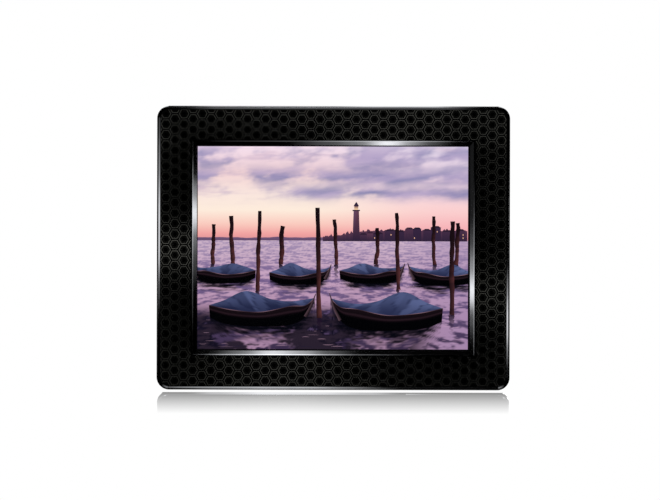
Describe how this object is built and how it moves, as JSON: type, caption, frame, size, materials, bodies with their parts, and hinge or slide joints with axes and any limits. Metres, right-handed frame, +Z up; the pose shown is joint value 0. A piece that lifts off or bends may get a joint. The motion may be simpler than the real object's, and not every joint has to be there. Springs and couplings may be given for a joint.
{
  "type": "digital photo frame",
  "caption": "Free-standing digital photo frame with a black honeycomb face, chrome trims, rear keys and sockets, and a folding easel leg.",
  "frame": {"origin": "bottom centre of the standing frame's bounding box, with its leg open, on the surface it stands on", "axes": "+X to the right as the screen is seen, +Y from the screen to the back, +Z up; the face leans back 15 degrees"},
  "size_m": [0.2108, 0.0774, 0.1646],
  "materials": {
    "dark_chrome": "dark polished chrome",
    "gloss_black": "glossy black with a honeycomb printed under the surface",
    "black_case": "finely textured moulded black",
    "key_black": "smooth satin black",
    "black_rubber": "matt",
    "screen": "lit display under a low-glare film",
    "display_glass": "clear",
    "plated_steel": "satin tinplate",
    "film_white": "pearly diffusing film",
    "light_guide_clear": "clear acrylic",
    "white_plastic": "moulded",
    "led_white": "glazed",
    "polyimide": "amber film with copper tracks",
    "screw_steel": "bright zinc",
    "screw_black": "black zinc",
    "brass": "turned",
    "board_green": "solder resist",
    "chip_black": "moulded epoxy",
    "socket_metal": "stamped and plated",
    "socket_black": "moulded",
    "can_metal": "drawn can",
    "ferrite": "matt ferrite",
    "ivory_plastic": "moulded",
    "cable_grey": "laminated film",
    "cone_paper": "treated",
    "wire_cover": "vinyl insulation",
    "label_paper": "blank silver foil paper",
    "pin_steel": "ground"
  },
  "bodies": {
    "frame": {"outer_trim": "dark_chrome", "front_panel": "gloss_black", "inner_trim": "dark_chrome", "front_housing": "black_case", "screen_gasket": "black_rubber", "lcd_bezel": "plated_steel", "front_polariser": "screen", "lcd_glass": "display_glass", "optical_films": "film_white", "light_guide": "light_guide_clear", "reflector_sheet": "film_white", "backlight_frame": "white_plastic", "led_bar": "led_white", "lcd_back_plate": "plated_steel", "lcd_flex": "polyimide", "chassis_plate": "plated_steel", "chassis_screws": "screw_steel", "board_standoffs": "brass", "main_board": "board_green", "board_screws": "screw_steel", "processor": "chip_black", "memory_chips": "chip_black", "card_socket": "socket_metal", "usb_socket": "socket_metal", "mini_usb_socket": "socket_metal", "audio_jack": "socket_black", "dc_jack": "socket_black", "power_switch": "socket_metal", "capacitors": "can_metal", "inductors": "ferrite", "crystal": "can_metal", "cell_holder": "ivory_plastic", "clock_cell": "can_metal", "board_connectors": "ivory_plastic", "button_board": "board_green", "button_board_screws": "screw_steel", "tact_switches": "chip_black", "button_cable": "cable_grey", "speaker_frames": "socket_black", "speaker_magnets": "pin_steel", "speaker_cones": "cone_paper", "speaker_gaskets": "black_rubber", "speaker_leads": "wire_cover", "rear_cover": "black_case", "cover_screws": "screw_black", "rating_label": "label_paper", "hinge_pin": "pin_steel", "hinge_washers": "pin_steel", "bottom_feet": "black_rubber"},
    "leg": {"easel_leg": "black_case", "leg_foot": "black_rubber"},
    "slider": {"power_slider": "key_black"},
    "menu_key": {"key_menu": "key_black"},
    "up_key": {"key_up": "key_black"},
    "left_key": {"key_left": "key_black"},
    "enter_key": {"key_enter": "key_black"},
    "right_key": {"key_right": "key_black"},
    "down_key": {"key_down": "key_black"},
    "exit_key": {"key_exit": "key_black"}
  },
  "joints": [
    {"name": "leg_fold", "type": "hinge", "parent": "frame", "child": "leg", "pos_m": [0, 0.01035, 0.08314], "axis": [-1, 0, 0], "range_deg": [0, 32]},
    {"name": "power_slide", "type": "slide", "parent": "frame", "child": "slider", "axis": [1, 0, 0], "range_m": [0, 0.002]},
    {"name": "menu_press", "type": "slide", "parent": "frame", "child": "menu_key", "axis": [0, -0.9659, 0.2588], "range_m": [0, 0.0004], "stiffness_N_per_m": 2000},
    {"name": "up_press", "type": "slide", "parent": "frame", "child": "up_key", "axis": [0, -0.9659, 0.2588], "range_m": [0, 0.0004], "stiffness_N_per_m": 2000},
    {"name": "left_press", "type": "slide", "parent": "frame", "child": "left_key", "axis": [0, -0.9659, 0.2588], "range_m": [0, 0.0004], "stiffness_N_per_m": 2000},
    {"name": "enter_press", "type": "slide", "parent": "frame", "child": "enter_key", "axis": [0, -0.9659, 0.2588], "range_m": [0, 0.0004], "stiffness_N_per_m": 2000},
    {"name": "right_press", "type": "slide", "parent": "frame", "child": "right_key", "axis": [0, -0.9659, 0.2588], "range_m": [0, 0.0004], "stiffness_N_per_m": 2000},
    {"name": "down_press", "type": "slide", "parent": "frame", "child": "down_key", "axis": [0, -0.9659, 0.2588], "range_m": [0, 0.0004], "stiffness_N_per_m": 2000},
    {"name": "exit_press", "type": "slide", "parent": "frame", "child": "exit_key", "axis": [0, -0.9659, 0.2588], "range_m": [0, 0.0004], "stiffness_N_per_m": 2000}
  ]
}
